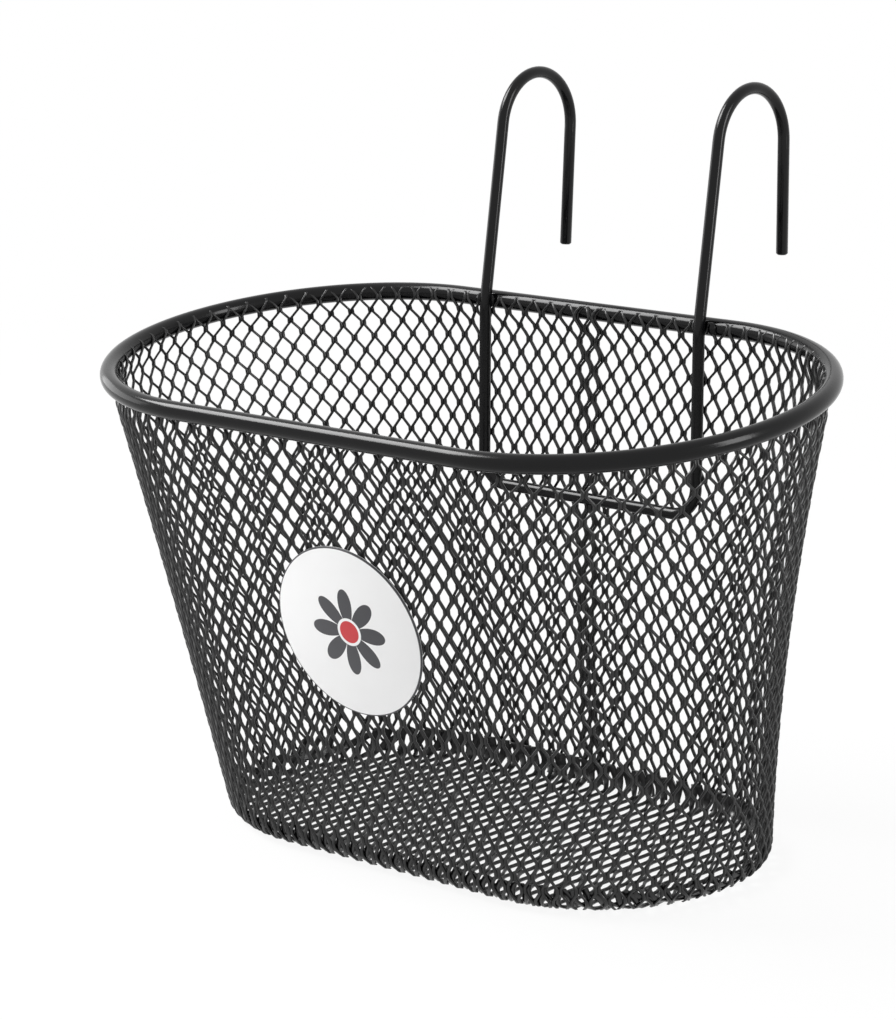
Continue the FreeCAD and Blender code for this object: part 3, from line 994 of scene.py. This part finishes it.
@dataclass
class Welds:
    """Weld beads in the corners between the legs and the rim, under the coat."""

    coat: bpy.types.Material
    shifts: tuple[float, float] = (1.6 * MM, 6.2 * MM)      # outer and inner bead, from the end
    half_size: tuple[float, float, float] = (1.5 * MM, 0.95 * MM, 2.1 * MM)
    ripple: tuple[float, float] = (0.06, 0.05)      # unevenness along and across a bead
    waves: tuple[float, float] = (9.0, 7.0)         # how close its ripples are

    def build(self) -> list[bpy.types.Object]:
        """Returns: the beads."""
        low, high = (Vector(corner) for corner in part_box("hook_welds"))
        middle = (low + high) / 2
        mesh = bmesh.new()
        for x in (low.x, high.x):
            for shift in self.shifts:
                centre = Vector((x - math.copysign(shift, x), middle.y, middle.z))
                made = bmesh.ops.create_icosphere(mesh, subdivisions=3, radius=1.0)
                for vert in made["verts"]:
                    wave = (1 + self.ripple[0] * math.sin(vert.co.z * self.waves[0])
                            + self.ripple[1] * math.sin(vert.co.x * self.waves[1] + 2))
                    vert.co = vert.co * Vector(self.half_size) * wave + centre
        return [dressed(new_piece("hook_welds_beads", mesh, self.coat), "hook_welds")]


# ---- setting ---------------------------------------------------------------------------------
@dataclass(frozen=True)
class Softbox:
    """Rectangular lamp that faces the basket."""

    name: str
    aside: tuple[float, float, float]       # from the basket's middle
    width: float
    height: float
    radiance: float

    def build(self, aim: Vector) -> None:
        """Args: aim: the basket's middle."""
        data = bpy.data.lights.new(self.name, "AREA")
        data.shape = "RECTANGLE"
        data.size, data.size_y = self.width, self.height
        data.energy = self.radiance * math.pi * self.width * self.height
        lamp = bpy.data.objects.new(self.name, data)
        lamp.location = aim + Vector(self.aside)
        lamp.rotation_euler = (-Vector(self.aside)).to_track_quat("-Z", "Y").to_euler()
        bpy.context.scene.collection.objects.link(lamp)


SOFTBOXES = (
    Softbox("top_left_softbox", (-0.95, -0.42, 1.1), 0.8, 0.65, 17.0),  # light along the rim
    Softbox("left_softbox", (-1.2, -0.1, 0.25), 1.0, 0.5, 1.8),         # the rim's pale left end
    Softbox("right_softbox", (1.25, 0.2, 0.4), 0.35, 0.9, 9.0),         # edges of hooks and strands
)


@dataclass
class Studio:
    """White floor and surround, softboxes and the camera."""

    aim: Vector = field(default_factory=lambda: Vector((0.0, 0.0, 0.1)))
    eye: Vector = field(default_factory=lambda: Vector((0.64853, -0.77476, 0.36466)))
    azimuth: float = math.radians(40.18)
    elevation: float = math.radians(14.3)
    roll: float = math.radians(-1.5)
    lens: float = 136.6
    fill: float = 0.5               # world's strength for diffuse light
    floor_half: float = 6.0         # half width of the floor
    glow: float = 0.9               # share of the floor's look that is plain white
    glow_reach: float = 0.9         # distance at which all of it is

    def world(self) -> None:
        """Soft daylight all round; the camera, gloss and glass see plain white."""
        world = bpy.data.worlds.new("white_surround")
        bpy.context.scene.world = world
        world.use_nodes = True
        nodes = Nodes(world.node_tree)
        strength = self.seen(nodes) * (1.0 - self.fill) + self.fill
        back = nodes.add("ShaderNodeBackground", None, (1.0, 1.0, 1.0, 1.0), strength)
        nodes.add("ShaderNodeOutputWorld", None, back.outputs[0])

    def seen(self, nodes: Nodes) -> Field:
        """Args: nodes: of a tree. Returns: 1 for camera, glossy and transmission rays, or 0."""
        path = nodes.add("ShaderNodeLightPath")
        camera, glossy, through = (Field(nodes, path.outputs[f"Is {kind} Ray"])
                                   for kind in ("Camera", "Glossy", "Transmission"))
        return camera.math("MAXIMUM", glossy).math("MAXIMUM", through)

    def floor(self) -> bpy.types.Object:
        """Returns: the floor, white to the camera and the gloss, with the object's shadow on it."""
        mesh = bmesh.new()
        bmesh.ops.create_grid(mesh, x_segments=1, y_segments=1, size=self.floor_half)
        material = bpy.data.materials.new("matt_white_paper")
        material.use_nodes = True
        nodes = Nodes(material.node_tree)
        place = nodes.field("ShaderNodeTexCoord", output="Object")
        away = nodes.field("ShaderNodeVectorMath", {"operation": "LENGTH"}, place, output="Value")
        share = (away / self.glow_reach).clamp(0.0, 1.0).lerp(self.glow, 1.0)
        paper = nodes.add("ShaderNodeBsdfDiffuse", None, linear("e8e8e8"))
        glow = nodes.add("ShaderNodeEmission", None, (1.0, 1.0, 1.0, 1.0), 1.0)
        mixed = nodes.add("ShaderNodeMixShader", None, self.seen(nodes) * share, paper.outputs[0],
                          glow.outputs[0])
        nodes.add("ShaderNodeOutputMaterial", None, mixed.outputs[0])
        return new_piece("studio_floor", mesh, material)

    def camera(self) -> None:
        """Long lens from a little above the rim, turned slightly about its axis."""
        data = bpy.data.cameras.new("camera")
        data.lens = self.lens
        data.sensor_width = 36.0
        data.sensor_fit = "HORIZONTAL"
        data.clip_end = 30.0
        camera = bpy.data.objects.new("camera", data)
        level = math.cos(self.elevation)
        back = Vector((math.sin(self.azimuth) * level, -math.cos(self.azimuth) * level,
                       math.sin(self.elevation)))
        right = (-back).cross(Vector((0, 0, 1))).normalized()
        up = right.cross(-back)
        across = right * math.cos(self.roll) + up * math.sin(self.roll)
        high = up * math.cos(self.roll) - right * math.sin(self.roll)
        turn = Matrix((across, high, back)).transposed().to_4x4()
        camera.matrix_world = Matrix.Translation(self.eye) @ turn
        bpy.context.scene.collection.objects.link(camera)
        bpy.context.scene.camera = camera

    def build(self) -> None:
        """Sets up the surround, floor, lamps and camera."""
        self.world()
        self.floor()
        for softbox in SOFTBOXES:
            softbox.build(self.aim)
        self.camera()
        bpy.context.scene.view_settings.view_transform = "Standard"


def main() -> None:
    """Builds the basket and its setting."""
    logging.basicConfig(level=logging.INFO, format="%(message)s")
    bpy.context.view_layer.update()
    body = Body.measured()
    bar_coat, mesh_coat = BAR_COAT.make(), MESH_COAT.make()
    for part in (Rim(body, bar_coat), Wall(body, mesh_coat), Floor(body, mesh_coat),
                 Hook(body, bar_coat), Welds(bar_coat), Badge(body, PrintedFilm())):
        for piece in part.build():
            LOG.info("%s: %d faces", piece.name, len(piece.data.polygons))
    Studio().build()


if __name__ == "__main__":
    main()
